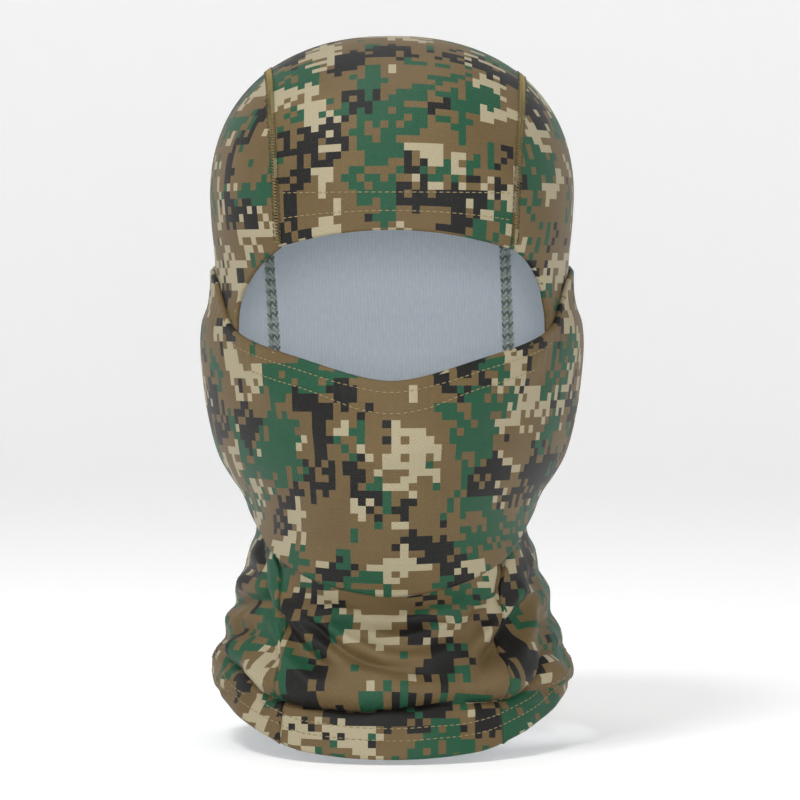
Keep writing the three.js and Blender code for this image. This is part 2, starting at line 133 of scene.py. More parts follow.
def outsideness(p):
    x, y, z = p[..., 0], p[..., 1], p[..., 2]
    width, depth, n = section(z, y > 0)
    level = power(abs(x) / width, n) + power(abs(y) / depth, n)
    return power(level, CROWN_POWER / n) + power((z - CROWN_BASE) / CROWN_RISE, CROWN_POWER) - 1


def normals_at(p):
    step = 0.02
    slope = np.stack([
        outsideness(p + step * axis) - outsideness(p - step * axis) for axis in np.eye(3)
    ], -1)
    return slope / np.linalg.norm(slope, axis=-1, keepdims=True)


def depth_at(x, z, behind):
    width, depth, n = section(z, behind)
    reach = depth * power(1 - power(abs(x) / width, n), 1 / n)
    return np.where(behind, reach, -reach)


def round_head(angle, height):
    """The form's point at an angle from straight ahead, in degrees, and a height that runs on over the
    crown."""
    angle, height = np.broadcast_arrays(np.asarray(angle, float), np.asarray(height, float))
    bend = np.radians(np.clip((height - CROWN_BASE) / CROWN_STEP, 0, 90))
    z = np.minimum(height, CROWN_BASE) + CROWN_RISE * power(np.sin(bend), 2 / CROWN_POWER)
    shrink = power(np.cos(bend), 2 / CROWN_POWER)
    ahead, aside = np.cos(np.radians(angle)), np.sin(np.radians(angle))
    width, depth, n = section(z, ahead < 0)
    x = width * shrink * np.sign(aside) * power(abs(aside), 2 / n)
    y = depth * shrink * power(abs(ahead), 2 / n) * np.where(ahead > 0, -1, 1)
    return np.stack([x, y, z], -1)


def place_round_head(p):
    """The angle and height of a point of the form."""
    x, y, z = p[..., 0], p[..., 1], p[..., 2]
    width, depth, n = section(z, y > 0)
    aside = power(abs(x) / width, n / 2)
    ahead = power(abs(y) / depth, n / 2) * np.where(y > 0, -1, 1)
    angle = np.degrees(np.arctan2(aside, ahead)) * np.where(x < 0, -1, 1)
    rise = np.clip((z - CROWN_BASE) / CROWN_RISE, 0, 1)
    bend = np.degrees(np.arcsin(power(rise, CROWN_POWER / 2)))
    return angle, np.minimum(z, CROWN_BASE) + bend * CROWN_STEP


BROW_MIDDLE = 36.8  # height of the brow edge straight ahead


def brow_edge(x):
    return BROW_MIDDLE - 0.003 * x * x


def even_in_angle(points):
    """The same height on the left and the right, and level straight ahead."""
    curve = smooth([(-points[1][0], points[1][1]), *points])
    return lambda angle: curve(abs(angle))


hem_edge = even_in_angle(
    [(0, -193.5), (25, -191.5), (41, -186), (67, -174), (90, -164), (125, -166), (180, -174)]
)
cover_edge = even_in_angle([(0, -30), (32, -18.7), (56, -7), (66, 3), (78, 16), (EAR_SEAM_ANGLE, 21)])
chin_seam = even_in_angle([(0, -121.6), (20, -118.5), (55, -106), (85, -88), (EAR_SEAM_ANGLE, -84)])
strip_half = smooth([(0, 51), (0.15, 52), (0.7, 55), (1.25, 57), (2.35, 57), (3.2, 56), (4.6, 45)])
strip_middle = smooth([(0, 2), (0.7, 2), (1.25, 1), (2.35, -3), (3.2, 0), (4.6, 2)])
side_front = smooth([
    (-195, 50), (-165, 48), (-137, 47), (-118, 50), (-105, 53.5), (-88, 60), (-65, 65), (-40, 67),
    (-15, 69.2), (-2, 69.2), (8, 67.3), (15, 64.3), (20, 61), (25, 56.5), (28.5, 51),
])
HEM_FRONT_HEIGHT = -189.0


def hem_behind(x):
    z = np.full_like(x, -172.0)
    angle, _ = place_round_head(np.stack([x, depth_at(x, z, True), z], -1))
    return hem_edge(angle)


def over_crown(x, station):
    """The form's point at x and a station from the brow edge, over the crown, to the hem behind."""
    x, station = np.broadcast_arrays(np.asarray(x, float), np.asarray(station, float))
    up_front = mix(brow_edge(x), CROWN_BASE, station / STATION["forehead"])
    fall = (station - STATION["occiput"]) / (STATION["hem"] - STATION["occiput"])
    down_back = mix(CROWN_BASE, hem_behind(x), fall)
    arc = STATION["occiput"] - STATION["forehead"]
    bend = np.pi * np.clip((station - STATION["forehead"]) / arc, 0, 1)
    width, ahead, _ = section(np.full_like(x, CROWN_BASE), False)
    behind = section(np.full_like(x, CROWN_BASE), True)[1]
    shrink = power(1 - power(abs(x) / width, CROWN_POWER), 1 / CROWN_POWER)
    reach = np.where(np.cos(bend) > 0, -ahead, behind)
    y_arc = reach * shrink * power(abs(np.cos(bend)), 2 / CROWN_POWER)
    z_arc = CROWN_BASE + CROWN_RISE * shrink * power(np.sin(bend), 2 / CROWN_POWER)
    in_front, in_back = station < STATION["forehead"], station > STATION["occiput"]
    z = np.where(in_front, up_front, np.where(in_back, down_back, z_arc))
    y = np.where(in_front | in_back, depth_at(x, np.minimum(z, CROWN_BASE), in_back), y_arc)
    return np.stack([x, y, z], -1)


# ---- Folds in the cloth: ridges and creases along paths of (angle in degrees, height in millimetres) ----

MM_PER_DEGREE = 1.35  # round the head, near enough for the width of a fold

# (path, how far the cloth is pushed out, half width of the fold)
# Many of the points here and in OVERHANGS follow marks made on the photograph, which a separate program
# turned into angles and heights.
FOLDS = [
    # slanting swags under the chin, from the left seam, and the hollows beside them
    ([(-50, -122), (-40, -132), (-26, -147), (-12, -157), (4, -163)], 5.5, 4.2),
    ([(-36, -127), (-15, -145), (-2, -152), (12, -153), (22, -147)], 4.2, 3.4),
    ([(-44, -133), (-31, -147), (-18, -158)], -2.6, 2.4),
    ([(-30, -134), (-14, -151), (0, -158), (14, -160)], -2.8, 2.2),
    ([(-48, -134), (-35, -153), (-22, -165)], 4.6, 3.4),
    ([(-22, -130), (0, -136), (20, -131)], -2.6, 3.4),
    ([(-16, -139), (3, -144), (21, -137), (40, -120)], 2.6, 3),
    # the same from the right seam
    ([(64, -120), (46, -129), (34, -142), (24, -153)], 4.6, 3.8),
    ([(64, -130), (48, -148), (34, -160)], 4.6, 4),
    ([(58, -128), (44, -138), (34, -150), (26, -160)], -3.2, 2.4),
    ([(52, -150), (60, -160), (72, -166)], 3.6, 4.4),
    # the side seams pull the cloth in
    ([(-80, -84), (-72, -101), (-56, -119), (-46, -136)], -2.4, 2.4),
    ([(68, -97), (58, -104), (49, -112), (43, -124), (40, -134)], -3, 2.6),
    # puffs and creases at the left of the neck
    ([(-96, -106), (-80, -108), (-66, -112)], 2.6, 3.6),
    ([(-92, -117), (-76, -117), (-60, -118)], -2.4, 2.6),
    ([(-112, -124), (-90, -125), (-74, -123), (-56, -123)], 4.6, 4.6),
    ([(-104, -136), (-86, -133), (-70, -131), (-50, -129)], -4.4, 2.8),
    ([(-112, -143), (-90, -141), (-68, -139), (-50, -137)], 4.4, 4.2),
    ([(-92, -149), (-74, -147), (-56, -143)], -3.2, 2.4),
    ([(-104, -158), (-84, -157), (-66, -153), (-50, -147)], 3.4, 3.8),
    ([(-94, -166), (-78, -164), (-62, -160), (-50, -154)], -2.6, 2.6),
    ([(-60, -134), (-67, -145), (-66, -158)], -3, 2.2),
    # and at the right
    ([(110, -106), (90, -109), (66, -114)], 2.2, 4),
    ([(98, -119), (78, -119), (58, -122)], -2.8, 2.8),
    ([(118, -126), (96, -127), (74, -129), (58, -134)], 3.4, 4.6),
    ([(100, -139), (80, -138), (60, -142)], -2.8, 2.8),
    ([(116, -150), (94, -148), (76, -148), (62, -152)], 3, 4.6),
    # behind the neck
    ([(150, -112), (180, -116), (210, -110)], 3, 5),
    ([(140, -124), (180, -128), (220, -122)], -3.2, 4),
    ([(146, -140), (180, -142), (216, -136)], 3, 6),
]

# Where the tube hangs down over its own foot: (path of the crease, how far it stands out, how far it hangs)
OVERHANGS = [
    ([(-84, -149), (-66, -155), (-51, -160), (-41, -166), (-26, -170), (-6, -172), (22, -167)], 7, 4.5),
    ([(20, -170), (28, -169), (39, -167), (49, -161), (56, -152)], 6.5, 4.5),
]
CREASE = 4.5  # the cloth just below an overhang is drawn in by this much
HANG = 15.0  # an overhang's height
CREASE_WIDTH = 3.2  # half width of the crease under an overhang
# the angle where the folds are weakest, how far that reaches, and the share taken off there
SMOOTH_SIDE = (92, 20, 0.72)
FOLD_FOOT, FOLD_FADE = -195, 16  # the folds grow from nothing over this much above the foot
RUMPLE = 0.7  # height of the slight unevenness of the loose cloth
RUMPLE_TOP, RUMPLE_TOP_FADE = -88, 20
RUMPLE_FOOT, RUMPLE_FOOT_FADE = -196, 14


def distance_to_path(angle, height, path):
    """How far a point is from a path of (angle, height), and 1 in the path's middle falling to 0 at its
    ends."""
    corners = np.array(path, float) * (MM_PER_DEGREE, 1)
    lengths = np.linalg.norm(np.diff(corners, axis=0), axis=1)
    starts = np.concatenate([[0], np.cumsum(lengths)])
    best = np.full(angle.shape, 1e9)
    along = np.zeros(angle.shape)
    for turn in (-360, 0, 360):
        spot = np.stack([(angle + turn) * MM_PER_DEGREE, height], -1)
        for i in range(len(lengths)):
            step = corners[i + 1] - corners[i]
            t = np.clip((spot - corners[i]) @ step / (lengths[i] ** 2), 0, 1)
            away = np.linalg.norm(spot - corners[i] - t[..., None] * step, axis=-1)
            nearer = away < best
            best = np.where(nearer, away, best)
            along = np.where(nearer, (starts[i] + t * lengths[i]) / starts[-1], along)
    return best, np.sin(np.pi * np.clip(along, 0.04, 0.96)) ** 0.5


def folds(angle, height):
    """How far the folds push the cloth out, and how far they let it down, at an angle and height."""
    out, down = np.zeros(angle.shape), np.zeros(angle.shape)
    for path, push, half_width_of_fold in FOLDS:
        away, middling = distance_to_path(angle, height, path)
        out += push * middling * np.exp(-((away / half_width_of_fold) ** 2))
    for path, push, drop in OVERHANGS:
        away, middling = distance_to_path(angle, height, path)
        corners = np.array(path, float)
        above = height - np.interp(angle, corners[:, 0], corners[:, 1])
        rise = np.clip(above / HANG, 0, 1)
        out += push * middling * np.where(above > 0, np.sin(np.pi * rise**0.5), 0)
        out -= CREASE * middling * np.exp(-((above / CREASE_WIDTH) ** 2))
        down += drop * middling * np.where(above > 0, np.sin(np.pi * rise**0.4) * (1 - rise), 0)
    # the photograph shows both outlines of the neck nearly smooth
    side, reach, share = SMOOTH_SIDE
    out *= 1 - share * np.exp(-(((np.abs(angle) - side) / reach) ** 2))
    rumple = np.sin(angle * 0.31 + height * 0.13) * np.sin(height * 0.21 - angle * 0.07)
    below_top = np.clip((RUMPLE_TOP - height) / RUMPLE_TOP_FADE, 0, 1)
    loose = below_top * np.clip((height - RUMPLE_FOOT) / RUMPLE_FOOT_FADE, 0, 1)
    still = np.clip((height - FOLD_FOOT) / FOLD_FADE, 0, 1)
    return out * still + RUMPLE * rumple * loose, down * still


# ---- Cloth coordinates: millimetres round the head and up it, so that every square keeps its size ----

CHART_ANGLES = np.linspace(-180, 180, 721)
CHART_HEIGHTS = np.arange(-204.0, 164.0, 2.0)


def running_length(points):
    """The length walked along the first axis of a grid of points, starting from 0."""
    steps = np.linalg.norm(np.diff(points, axis=0), axis=-1)
    return np.concatenate([np.zeros((1, *steps.shape[1:])), np.cumsum(steps, axis=0)])


CHART = round_head(CHART_ANGLES[:, None], CHART_HEIGHTS[None, :])
ROUND_LENGTH = running_length(CHART)


def round_length(angle, height):
    i = np.clip((angle + 180) * 2, 0, 719.999)
    j = np.clip((height + 204) / 2, 0, len(CHART_HEIGHTS) - 1.001)
    i0, j0 = i.astype(int), j.astype(int)
    near = mix(ROUND_LENGTH[i0, j0], ROUND_LENGTH[i0 + 1, j0], i - i0)
    far = mix(ROUND_LENGTH[i0, j0 + 1], ROUND_LENGTH[i0 + 1, j0 + 1], i - i0)
    return mix(near, far, j - j0)


def cloth_coordinates(angle, height, middle):
    """Millimetres round from the meridian at the middle angle, and up that meridian from height 0."""
    meridian = round_head(middle, CHART_HEIGHTS)
    up = running_length(meridian)
    across = round_length(angle, height) - round_length(np.full_like(angle, middle), height)
    rise = np.interp(height, CHART_HEIGHTS, up) - np.interp(0, CHART_HEIGHTS, up)
    return np.stack([across, rise], -1)


# ---- Sheets of cloth ----


class Sheet:
    """A grid of points (columns, rows) in the middle of the cloth, with outward normals and cloth
    coordinates."""

    def __init__(self, points, normals, cloth):
        self.points, self.normals, self.cloth = points, normals, cloth

    def upside_down(self):
        """The same sheet with its rows in the other order."""
        return Sheet(self.points[:, ::-1], self.normals[:, ::-1], self.cloth[:, ::-1])

    def turned(self):
        """The same sheet with columns and rows swapped."""
        return Sheet(*(np.swapaxes(grid, 0, 1) for grid in (self.points, self.normals, self.cloth)))


HEM_SPACE = 1.7  # between the middles of the two plies of a hem


def turn_in(sheet, depth, space=HEM_SPACE):
    """Adds the ply that is turned in behind the sheet's first row, depth millimetres deep.
    The middles of the two plies are space apart: one number, or one for each column of the sheet."""
    lengths = running_length(np.swapaxes(sheet.points, 0, 1)).T
    bend = np.radians(np.arange(165, 0, -30))
    rows = round(depth / 1.6)
    turned = rows + len(bend)
    distances = np.empty((len(lengths), turned + lengths.shape[1]))
    lifts = np.zeros(distances.shape)
    for i, radius in enumerate(np.broadcast_to(space, len(lengths)) / 2):
        inner = np.linspace(depth, radius, rows, endpoint=False)
        # the sheet's own rows begin where the bend ends
        outer = radius + lengths[i] * (1 - radius / lengths[i, -1])
        distances[i] = np.concatenate([inner, radius * (1 - np.sin(bend)), outer])
        lifts[i, :rows] = -2 * radius
        lifts[i, rows:turned] = radius * (np.cos(bend) - 1)
    grids = []
    for grid in (sheet.points, sheet.normals, sheet.cloth):
        made = np.empty((*distances.shape, grid.shape[-1]))
        for i, along in enumerate(lengths):
            for k in range(grid.shape[-1]):
                made[i, :, k] = np.interp(distances[i], along, grid[i, :, k])
        grids.append(made)
    points, normals, cloth = grids
    normals /= np.linalg.norm(normals, axis=-1, keepdims=True)
    cloth[:, :turned] = 2 * sheet.cloth[:, :1] - cloth[:, :turned]
    return Sheet(points + normals * lifts[..., None], normals, cloth)


def grid_normals(points):
    around, up = np.gradient(points, axis=0), np.gradient(points, axis=1)
    normals = np.cross(around, up)
    return normals / np.maximum(np.linalg.norm(normals, axis=-1, keepdims=True), 1e-9)


def make_mesh(name, vertices, faces, uvs=None, materials=(), indices=None):
    """A mesh object from points in millimetres. uvs has one pair for each corner of each face."""
    mesh = bpy.data.meshes.new(name)
    mesh.from_pydata((np.asarray(vertices) * MM).tolist(), [], np.asarray(faces).tolist())
    if uvs is not None:
        layer = mesh.uv_layers.new(name="cloth")
        layer.data.foreach_set("uv", (np.asarray(uvs, np.float32) * MM).ravel())
    for material in materials:
        mesh.materials.append(material)
    if indices is not None:
        mesh.polygons.foreach_set("material_index", np.asarray(indices, np.int32))
    mesh.polygons.foreach_set("use_smooth", np.ones(len(mesh.polygons), bool))
    mesh.update()
    piece = bpy.data.objects.new(name, mesh)
    bpy.context.scene.collection.objects.link(piece)
    return piece


def shell(name, sheet, outside, inside, thickness=CLOTH):
    """A closed mesh on both sides of a sheet: the outside material faces out, and the inside material in."""
    points, cloth = sheet.points, sheet.cloth
    normals = grid_normals(points)
    if (normals * sheet.normals).sum() < 0:
        normals = -normals
        winding = [3, 2, 1, 0]
    else:
        winding = [0, 1, 2, 3]
    columns, rows = points.shape[:2]
    half = thickness / 2
    both_faces = [points + normals * half, points - normals * half]
    vertices = np.concatenate([face.reshape(-1, 3) for face in both_faces])
    coordinates = np.tile(cloth.reshape(-1, 2), (2, 1))
    number = np.arange(columns * rows).reshape(columns, rows)
    under = number + columns * rows
    quads = np.stack([number[:-1, :-1], number[1:, :-1], number[1:, 1:], number[:-1, 1:]], -1).reshape(-1, 4)
    outer = quads[:, winding]
    inner = (quads + columns * rows)[:, winding[::-1]]
    border = np.concatenate([number[:-1, 0], number[-1, :-1], number[:0:-1, -1], number[0, :0:-1]])
    border_under = np.concatenate([under[:-1, 0], under[-1, :-1], under[:0:-1, -1], under[0, :0:-1]])
    after, after_under = np.roll(border, -1), np.roll(border_under, -1)
    rim = np.stack([border_under, after_under, after, border], -1)[:, winding]
    faces = np.concatenate([outer, inner, rim])
    kinds = np.concatenate([np.zeros(len(outer)), np.ones(len(inner)), np.zeros(len(rim))])
    return make_mesh(name, vertices, faces, coordinates[faces.ravel()], [outside, inside], kinds)


# ---- The panels ----

CROWN_LIFT = 0.5  # the middle of the panels' cloth, above the form
SEAM_RIDGE = 0.25  # a flat seam stands up by this much
BROW_HEM, OPENING_HEM, COVER_HEM, BOTTOM_HEM = 15.5, 8.0, 13.0, 13.0


def seam_ridge(distance):
    return SEAM_RIDGE * np.exp(-((distance / 2.6) ** 2))


def dressed(base, lift, extra=0.0):
    """Points of the form, lifted and folded, with the form's normals."""
    angle, height = place_round_head(base)
    normals = normals_at(base)
    out, down = folds(angle, height)
    return base + normals * (lift + extra + out)[..., None] - down[..., None] * (0, 0, 1), normals


def crown_seam_line(side, station):
    return over_crown(strip_middle(station) + side * strip_half(station), station)


def crown_sheet():
    across, station = np.meshgrid(np.linspace(-1, 1, 61), np.linspace(0, STATION["hem"], 271), indexing="ij")
    half = strip_half(station)
    base = over_crown(strip_middle(station) + across * half, station)
    ridge = seam_ridge(half * (1 - abs(across)))
    points, normals = dressed(base, CROWN_LIFT, ridge)
    middle = len(across) // 2
    from_left = running_length(base)
    up = running_length(base[middle])
    cloth = np.stack([from_left - from_left[middle], np.broadcast_to(up, from_left.shape)], -1)
    return Sheet(points, normals, cloth)


def front_edge(side, height):
    """Angle round the head of the side panel's front edge: the face opening, then the neck seam."""
    x = side * side_front(height) + SEAM_SHIFT * np.clip((height - 5) / 20, 0, 1)
    return place_round_head(np.stack([x, depth_at(x, height, False), height], -1))[0]


SIDE_TOP = (1.0, 1.5)  # the stations of the crown seam between which a side panel's top row runs
BROW_SHARE = 0.65  # the share of a side panel's rows that lie below the brow's corner
BROW_CORNER_BEHIND = 2.6  # the station behind that is as high as the brow's corner


def side_sheet(side):
    u, v = np.linspace(0, 1, 111), np.linspace(0, 1, 191)
    brow_corner = brow_edge(SEAM_SHIFT + side * strip_half(0))
    heights = mix(HEM_FRONT_HEIGHT, brow_corner, np.minimum(v / BROW_SHARE, 1))
    below = np.stack([front_edge(side, heights), heights], -1)
    seam_ahead = crown_seam_line(side, np.interp(v, [BROW_SHARE, 1], [0, SIDE_TOP[0]]))
    above = np.stack(place_round_head(seam_ahead), -1)
    front = np.where(v[:, None] < BROW_SHARE, below, above)
    station_behind = np.interp(v, [0, BROW_SHARE, 1], [STATION["hem"], BROW_CORNER_BEHIND, SIDE_TOP[1]])
    behind = np.stack(place_round_head(crown_seam_line(side, station_behind)), -1)
    top = np.stack(place_round_head(crown_seam_line(side, mix(*SIDE_TOP, u))), -1)
    angles = mix(front[0, 0], behind[0, 0], u)
    bottom = np.stack([angles, hem_edge(angles)], -1)
    bottom[0, 1] = HEM_FRONT_HEIGHT
    s, t = u[:, None, None], v[None, :, None]
    corners = mix(mix(bottom[0], bottom[-1], s), mix(top[0], top[-1], s), t)
    place = mix(bottom[:, None], top[:, None], t) + mix(front[None], behind[None], s) - corners
    angle, height = place[..., 0], place[..., 1]
    base = round_head(angle, height)
    to_top = np.linalg.norm(base - base[:, -1:], axis=-1)
    to_behind = np.linalg.norm(base - base[-1:], axis=-1)
    to_ahead = np.linalg.norm(base - base[:1], axis=-1) + 99 * (v < BROW_SHARE)
    ridge = seam_ridge(np.minimum(np.minimum(to_top, to_behind), to_ahead))
    points, normals = dressed(base, CROWN_LIFT, ridge)
    return Sheet(points, normals, cloth_coordinates(angle, height, side * 90.0))


NECK_SEAM_LAP = 3.0  # degrees by which the front panel runs on behind the side panels
NECK_SINK = 1.6  # how far its edge is sunk under theirs


def neck_sheet():
    across, up = np.meshgrid(np.linspace(-1, 1, 121), np.linspace(0, 1, 61), indexing="ij")
    edge = front_edge(1, mix(HEM_FRONT_HEIGHT, -108, up))
    angle = across * (edge + NECK_SEAM_LAP)
    top = np.minimum(chin_seam(angle) + 5, -100)
    height = mix(hem_edge(angle), top, up)
    base = round_head(angle, height)
    under = -NECK_SINK * np.clip((abs(angle) - edge + 1.5) / 2.0, 0, 1)
    points, normals = dressed(base, CROWN_LIFT, under)
    return Sheet(points, normals, cloth_coordinates(angle, height, 0.0))


def cover_lift(angle, height):
    """The face cover lies on the side panels at the ears and stands off the face where it pulls down."""
    band = np.clip((height - band_foot(angle) + 6) / 12, 0, 1) * np.clip((58 - abs(angle)) / 8, 0, 1)
    return 3.0 + 1.5 * band


band_foot = even_in_angle([(0, -66), (20, -59), (34, -45), (45, -31), (55, -13.5)])


COVER_COLUMNS = 181


def cover_sheet():
    across, up = np.meshgrid(np.linspace(-1, 1, COVER_COLUMNS), np.linspace(0, 1, 71), indexing="ij")
    angle = across * EAR_SEAM_ANGLE
    height = mix(cover_edge(angle), chin_seam(angle), up)
    base = round_head(angle, height)
    normals = normals_at(base)
    pucker = 0.25 * np.sin(angle * 1.9) * np.exp(-(((cover_edge(angle) - height - 9) / 7) ** 2))
    points = base + normals * (cover_lift(angle, height) + pucker)[..., None]
    return Sheet(points, normals, cloth_coordinates(angle, height, 0.0))


# ---- Materials ----


class Nodes:
    """A small helper for putting a material's nodes together."""

    def __init__(self, name):
        self.material = bpy.data.materials.new(name)
        self.material.use_nodes = True
        self.tree = self.material.node_tree
        self.shader = self.tree.nodes["Principled BSDF"]

    def add(self, kind, **settings):
        node = self.tree.nodes.new(kind)
        for key, value in settings.items():
            setattr(node, key, value)
        return node

    def link(self, source, target):
        self.tree.links.new(source, target)

    def feed(self, socket, value):
        if hasattr(value, "is_output"):
            self.link(value, socket)
        else:
            socket.default_value = value

    def math(self, operation, *values):
        node = self.add("ShaderNodeMath", operation=operation)
        for socket, value in zip(node.inputs, values):
            self.feed(socket, value)
        return node.outputs[0]

    def vector(self, operation, *values):
        node = self.add("ShaderNodeVectorMath", operation=operation)
        for socket, value in zip(node.inputs, values):
            self.feed(socket, value)
        return node.outputs["Value"] if operation == "LENGTH" else node.outputs[0]

    def noise(self, coordinates, scale, detail=0.0, offset=(0, 0, 0)):
        node = self.add("ShaderNodeTexNoise", noise_dimensions="2D")
        self.link(self.vector("ADD", coordinates, offset), node.inputs["Vector"])
        node.inputs["Scale"].default_value = scale
        node.inputs["Detail"].default_value = detail
        return node.outputs[0]

    def mix(self, factor, first, second):
        node = self.add("ShaderNodeMix", data_type="RGBA")
        self.feed(node.inputs["Factor"], factor)
        self.feed(node.inputs["A"], first)
        self.feed(node.inputs["B"], second)
        return node.outputs["Result"]

    def cloth_uv(self):
        """Cloth coordinates in millimetres."""
        uv = self.add("ShaderNodeUVMap", uv_map="cloth")
        return self.vector("MULTIPLY", uv.outputs[0], (1000, 1000, 0))

    def bump(self, height, strength, distance):
        node = self.add("ShaderNodeBump")
        node.inputs["Strength"].default_value = strength
        node.inputs["Distance"].default_value = distance * MM
        self.link(height, node.inputs["Height"])
        self.link(node.outputs[0], self.shader.inputs["Normal"])


def colour(hex_code):
    """A linear colour from an sRGB one written as #rrggbb."""
    parts = [int(hex_code[i : i + 2], 16) / 255 for i in (1, 3, 5)]
    return (*(p / 12.92 if p <= 0.04045 else ((p + 0.055) / 1.055) ** 2.4 for p in parts), 1.0)


BROWN, OLIVE, CREAM, GREEN, BLACK = (
    colour(c) for c in ("#6a5838", "#5d4b2f", "#9f957a", "#1b4b33", "#141312")
)
# each ink is printed over the one before it
PRINT = {"cream": CREAM, "green": GREEN, "black": BLACK}
# where an ink's slow noise begins, the noise's scale, and the level at which a patch begins
MACRO = {"cream": (7.1, 0.125, 0.565), "green": (23.7, 0.11, 0.56), "black": (51.3, 0.12, 0.62)}
RAGGED = 1.7  # how ragged the patches' edges are
FILL = 0.34  # how solid the middle of a patch is
STEEPNESS = 7.0  # how fast a patch grows solid in from its edge
SPECKLE = 1.15  # how freely single squares stray
STITCH_WIDTH, STITCH_HEIGHT = 1.25, 1.5  # one stitch of the knit
LINING_RIB = 1.7  # from one rib of the lining to the next


def camouflage(name, seed):
    """Squares of printed colour on knit. Slow noise makes the patches, and fast noise breaks their
    edges up."""
    n = Nodes(name)
    uv = n.cloth_uv()
    squares = n.vector("MULTIPLY", uv, (1 / CELL, 1 / CELL, 0))
    cell = n.vector("ADD", n.vector("FLOOR", squares), (0.5, 0.5, 0))
    white = n.add("ShaderNodeTexWhiteNoise", noise_dimensions="2D")
    n.link(n.vector("ADD", cell, (seed, 0, 0)), white.inputs["Vector"])
    spots = n.math("SUBTRACT", white.outputs["Value"], 0.5)
    tone = n.noise(cell, 0.12, 1, (seed, 3, 0))
    shade = n.mix(tone, BROWN, OLIVE)
    for kind, ink in PRINT.items():
        offset, scale, threshold = MACRO[kind]
        macro = n.noise(cell, scale, 1.0, (offset + seed, offset, 0))
        patches = n.math("MULTIPLY", n.math("SUBTRACT", macro, threshold), STEEPNESS)
        field = n.math("MINIMUM", patches, FILL)
        ragged = n.math("SUBTRACT", n.noise(cell, 0.46, 1.5, (offset, seed, 0)), 0.5)
        edge = n.math("ADD", n.math("MULTIPLY", ragged, RAGGED), n.math("MULTIPLY", spots, SPECKLE))
        inside = n.math("GREATER_THAN", n.math("ADD", field, edge), 0.0)
        shade = n.mix(inside, shade, ink)
    knit = n.vector("MULTIPLY", uv, (2 * math.pi / STITCH_WIDTH, 2 * math.pi / STITCH_HEIGHT, 0))
    parts = n.add("ShaderNodeSeparateXYZ")
    n.link(knit, parts.inputs[0])
    ribs = n.math("MULTIPLY", n.math("SINE", parts.outputs[0]), n.math("SINE", parts.outputs[1]))
    fuzz = n.noise(uv, 1.7, 2)
    grain = n.math("ADD", n.math("MULTIPLY", ribs, 0.5), fuzz)
    value = n.add("ShaderNodeHueSaturation")
    n.link(shade, value.inputs["Color"])
    lift = n.math("ADD", n.math("MULTIPLY", grain, 0.2), 0.87)
    n.link(lift, value.inputs["Value"])
    n.link(value.outputs[0], n.shader.inputs["Base Color"])
    n.shader.inputs["Roughness"].default_value = 0.52
    n.shader.inputs["Specular IOR Level"].default_value = 0.24
    n.shader.inputs["Sheen Weight"].default_value = 0.02
    n.shader.inputs["Sheen Roughness"].default_value = 0.5
    n.bump(grain, 0.35, 0.35)
    return n.material


def lining_material():
    """The knit's pale inside, with fine upright ribs."""
    n = Nodes("lining_knit")
    uv = n.cloth_uv()
    parts = n.add("ShaderNodeSeparateXYZ")
    n.link(uv, parts.inputs[0])
    ribs = n.math("SINE", n.math("MULTIPLY", parts.outputs[0], 2 * math.pi / LINING_RIB))
    flecks = n.noise(n.vector("MULTIPLY", uv, (1, 0.3, 0)), 0.8, 2)
    grain = n.math("ADD", n.math("MULTIPLY", ribs, 0.16), flecks)
    low, high = colour("#dfe8f0"), colour("#f2f7fc")
    n.link(n.mix(grain, low, high), n.shader.inputs["Base Color"])
    n.shader.inputs["Roughness"].default_value = 0.8
    n.shader.inputs["Specular IOR Level"].default_value = 0.2
    n.bump(grain, 0.3, 0.3)
    return n.material


def plain_material(name, hex_code, roughness=0.75):
    n = Nodes(name)
    n.shader.inputs["Base Color"].default_value = colour(hex_code)
    n.shader.inputs["Roughness"].default_value = roughness
    n.shader.inputs["Specular IOR Level"].default_value = 0.3
    return n.material


# ---- Threads ----


def even_steps(line, normals, step):
    """The line again, with points a step apart, and its normals and directions."""
    lengths = running_length(line)
    at = np.linspace(0, lengths[-1], max(3, round(lengths[-1] / step) + 1))
    line = np.stack([np.interp(at, lengths, line[:, k]) for k in range(3)], -1)
    normals = np.stack([np.interp(at, lengths, normals[:, k]) for k in range(3)], -1)
    normals /= np.linalg.norm(normals, axis=-1, keepdims=True)
    ahead = np.gradient(line, axis=0)
    ahead /= np.linalg.norm(ahead, axis=-1, keepdims=True)
    return line, normals, ahead, at


